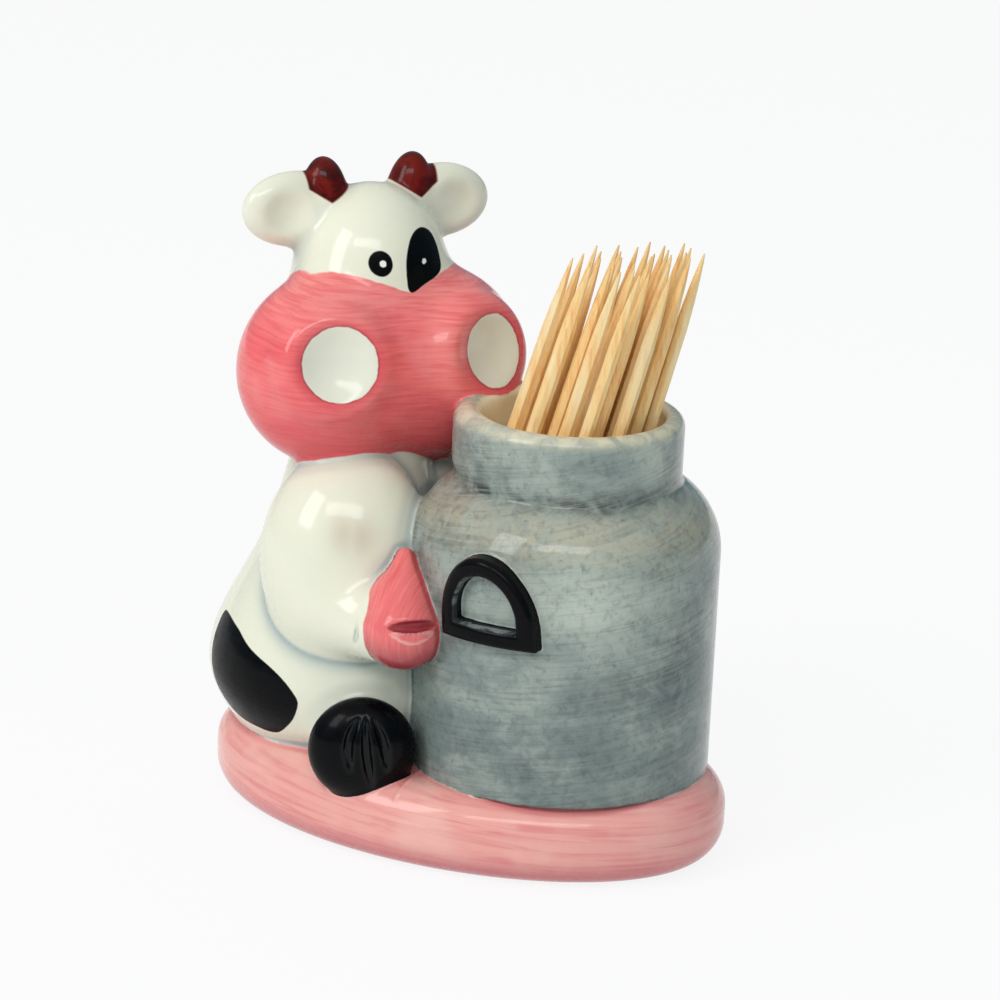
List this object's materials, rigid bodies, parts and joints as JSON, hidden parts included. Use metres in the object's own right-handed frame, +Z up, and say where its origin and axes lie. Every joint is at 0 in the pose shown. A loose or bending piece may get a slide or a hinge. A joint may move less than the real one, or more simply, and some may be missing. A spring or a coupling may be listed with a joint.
{
  "type": "toothpick holder",
  "caption": "Glazed ceramic toothpick holder: a seated cow on an oval plinth hugs an open milk can whose well holds loose wooden toothpicks.",
  "frame": {"origin": "centre of the plinth's flat underside", "axes": "+Z up, +X along the plinth towards the milk can, -Y the side that the cow's head turns to"},
  "size_m": [0.0877, 0.0576, 0.0999],
  "materials": {
    "ivory_glaze": "gloss glaze, warm white with dark painted patches",
    "muzzle_glaze": "gloss glaze, brushed rose pink with white nostrils",
    "horn_glaze": "gloss glaze, mottled red brown",
    "hand_glaze": "gloss glaze, rose pink",
    "black_glaze": "gloss glaze, black",
    "can_glaze": "gloss glaze, grey with darker brushed smudges",
    "plinth_glaze": "gloss glaze, salmon pink with rosy brush strokes",
    "bamboo": "bare, lightly sanded, natural tan"
  },
  "bodies": {
    "figure": {"torso": "ivory_glaze", "crown": "ivory_glaze", "right_ear": "ivory_glaze", "left_ear": "ivory_glaze", "right_arm": "ivory_glaze", "left_arm": "ivory_glaze", "right_leg": "ivory_glaze", "left_leg": "ivory_glaze", "tail": "ivory_glaze", "muzzle": "muzzle_glaze", "right_horn": "horn_glaze", "left_horn": "horn_glaze", "right_hand_hoof": "hand_glaze", "left_hand_hoof": "hand_glaze", "right_foot_hoof": "black_glaze", "left_foot_hoof": "black_glaze", "front_can_lug": "black_glaze", "rear_can_lug": "black_glaze", "tail_tuft": "black_glaze", "milk_can": "can_glaze", "plinth": "plinth_glaze"},
    "pick_01": {"toothpick_01": "bamboo"},
    "pick_02": {"toothpick_02": "bamboo"},
    "pick_03": {"toothpick_03": "bamboo"},
    "pick_04": {"toothpick_04": "bamboo"},
    "pick_05": {"toothpick_05": "bamboo"},
    "pick_06": {"toothpick_06": "bamboo"},
    "pick_07": {"toothpick_07": "bamboo"},
    "pick_08": {"toothpick_08": "bamboo"},
    "pick_09": {"toothpick_09": "bamboo"},
    "pick_10": {"toothpick_10": "bamboo"},
    "pick_11": {"toothpick_11": "bamboo"},
    "pick_12": {"toothpick_12": "bamboo"},
    "pick_13": {"toothpick_13": "bamboo"},
    "pick_14": {"toothpick_14": "bamboo"},
    "pick_15": {"toothpick_15": "bamboo"},
    "pick_16": {"toothpick_16": "bamboo"},
    "pick_17": {"toothpick_17": "bamboo"},
    "pick_18": {"toothpick_18": "bamboo"},
    "pick_19": {"toothpick_19": "bamboo"},
    "pick_20": {"toothpick_20": "bamboo"},
    "pick_21": {"toothpick_21": "bamboo"},
    "pick_22": {"toothpick_22": "bamboo"},
    "pick_23": {"toothpick_23": "bamboo"},
    "pick_24": {"toothpick_24": "bamboo"},
    "pick_25": {"toothpick_25": "bamboo"},
    "pick_26": {"toothpick_26": "bamboo"},
    "pick_27": {"toothpick_27": "bamboo"},
    "pick_28": {"toothpick_28": "bamboo"},
    "pick_29": {"toothpick_29": "bamboo"},
    "pick_30": {"toothpick_30": "bamboo"},
    "pick_31": {"toothpick_31": "bamboo"},
    "pick_32": {"toothpick_32": "bamboo"}
  },
  "joints": [
    {"name": "pick_01_lift", "type": "slide", "parent": "figure", "child": "pick_01", "axis": [0.2364, 0.1034, 0.9661], "range_m": [0, 0.042]},
    {"name": "pick_02_lift", "type": "slide", "parent": "figure", "child": "pick_02", "axis": [0.2307, 0.104, 0.9675], "range_m": [0, 0.042]},
    {"name": "pick_03_lift", "type": "slide", "parent": "figure", "child": "pick_03", "axis": [0.2385, 0.108, 0.9651], "range_m": [0, 0.042]},
    {"name": "pick_04_lift", "type": "slide", "parent": "figure", "child": "pick_04", "axis": [0.2342, 0.0992, 0.9671], "range_m": [0, 0.042]},
    {"name": "pick_05_lift", "type": "slide", "parent": "figure", "child": "pick_05", "axis": [0.2304, 0.1087, 0.967], "range_m": [0, 0.042]},
    {"name": "pick_06_lift", "type": "slide", "parent": "figure", "child": "pick_06", "axis": [0.2423, 0.1044, 0.9646], "range_m": [0, 0.042]},
    {"name": "pick_07_lift", "type": "slide", "parent": "figure", "child": "pick_07", "axis": [0.2277, 0.0997, 0.9686], "range_m": [0, 0.042]},
    {"name": "pick_08_lift", "type": "slide", "parent": "figure", "child": "pick_08", "axis": [0.237, 0.1123, 0.965], "range_m": [0, 0.042]},
    {"name": "pick_09_lift", "type": "slide", "parent": "figure", "child": "pick_09", "axis": [0.2392, 0.0978, 0.966], "range_m": [0, 0.042]},
    {"name": "pick_10_lift", "type": "slide", "parent": "figure", "child": "pick_10", "axis": [0.2252, 0.1062, 0.9685], "range_m": [0, 0.042]},
    {"name": "pick_11_lift", "type": "slide", "parent": "figure", "child": "pick_11", "axis": [0.2444, 0.1093, 0.9635], "range_m": [0, 0.042]},
    {"name": "pick_12_lift", "type": "slide", "parent": "figure", "child": "pick_12", "axis": [0.2301, 0.0951, 0.9685], "range_m": [0, 0.042]},
    {"name": "pick_13_lift", "type": "slide", "parent": "figure", "child": "pick_13", "axis": [0.2311, 0.1136, 0.9663], "range_m": [0, 0.042]},
    {"name": "pick_14_lift", "type": "slide", "parent": "figure", "child": "pick_14", "axis": [0.2451, 0.1007, 0.9642], "range_m": [0, 0.042]},
    {"name": "pick_15_lift", "type": "slide", "parent": "figure", "child": "pick_15", "axis": [0.2225, 0.1005, 0.9697], "range_m": [0, 0.042]},
    {"name": "pick_16_lift", "type": "slide", "parent": "figure", "child": "pick_16", "axis": [0.242, 0.1146, 0.9635], "range_m": [0, 0.042]},
    {"name": "pick_17_lift", "type": "slide", "parent": "figure", "child": "pick_17", "axis": [0.2365, 0.0933, 0.9671], "range_m": [0, 0.042]},
    {"name": "pick_18_lift", "type": "slide", "parent": "figure", "child": "pick_18", "axis": [0.2241, 0.1107, 0.9683], "range_m": [0, 0.042]},
    {"name": "pick_19_lift", "type": "slide", "parent": "figure", "child": "pick_19", "axis": [0.2487, 0.1069, 0.9627], "range_m": [0, 0.042]},
    {"name": "pick_20_lift", "type": "slide", "parent": "figure", "child": "pick_20", "axis": [0.2245, 0.0942, 0.9699], "range_m": [0, 0.042]},
    {"name": "pick_21_lift", "type": "slide", "parent": "figure", "child": "pick_21", "axis": [0.2352, 0.1173, 0.9648], "range_m": [0, 0.042]},
    {"name": "pick_22_lift", "type": "slide", "parent": "figure", "child": "pick_22", "axis": [0.2445, 0.0958, 0.9649], "range_m": [0, 0.042]},
    {"name": "pick_23_lift", "type": "slide", "parent": "figure", "child": "pick_23", "axis": [0.2192, 0.1042, 0.9701], "range_m": [0, 0.042]},
    {"name": "pick_24_lift", "type": "slide", "parent": "figure", "child": "pick_24", "axis": [0.2476, 0.1141, 0.9621], "range_m": [0, 0.042]},
    {"name": "pick_25_lift", "type": "slide", "parent": "figure", "child": "pick_25", "axis": [0.2313, 0.0903, 0.9687], "range_m": [0, 0.042]},
    {"name": "pick_26_lift", "type": "slide", "parent": "figure", "child": "pick_26", "axis": [0.2263, 0.1158, 0.9671], "range_m": [0, 0.042]},
    {"name": "pick_27_lift", "type": "slide", "parent": "figure", "child": "pick_27", "axis": [0.2507, 0.1023, 0.9626], "range_m": [0, 0.042]},
    {"name": "pick_28_lift", "type": "slide", "parent": "figure", "child": "pick_28", "axis": [0.2191, 0.0961, 0.971], "range_m": [0, 0.042]},
    {"name": "pick_29_lift", "type": "slide", "parent": "figure", "child": "pick_29", "axis": [0.2413, 0.1193, 0.9631], "range_m": [0, 0.042]},
    {"name": "pick_30_lift", "type": "slide", "parent": "figure", "child": "pick_30", "axis": [0.2408, 0.0909, 0.9663], "range_m": [0, 0.042]},
    {"name": "pick_31_lift", "type": "slide", "parent": "figure", "child": "pick_31", "axis": [0.2186, 0.1096, 0.9697], "range_m": [0, 0.042]},
    {"name": "pick_32_lift", "type": "slide", "parent": "figure", "child": "pick_32", "axis": [0.2523, 0.1109, 0.9613], "range_m": [0, 0.042]}
  ]
}
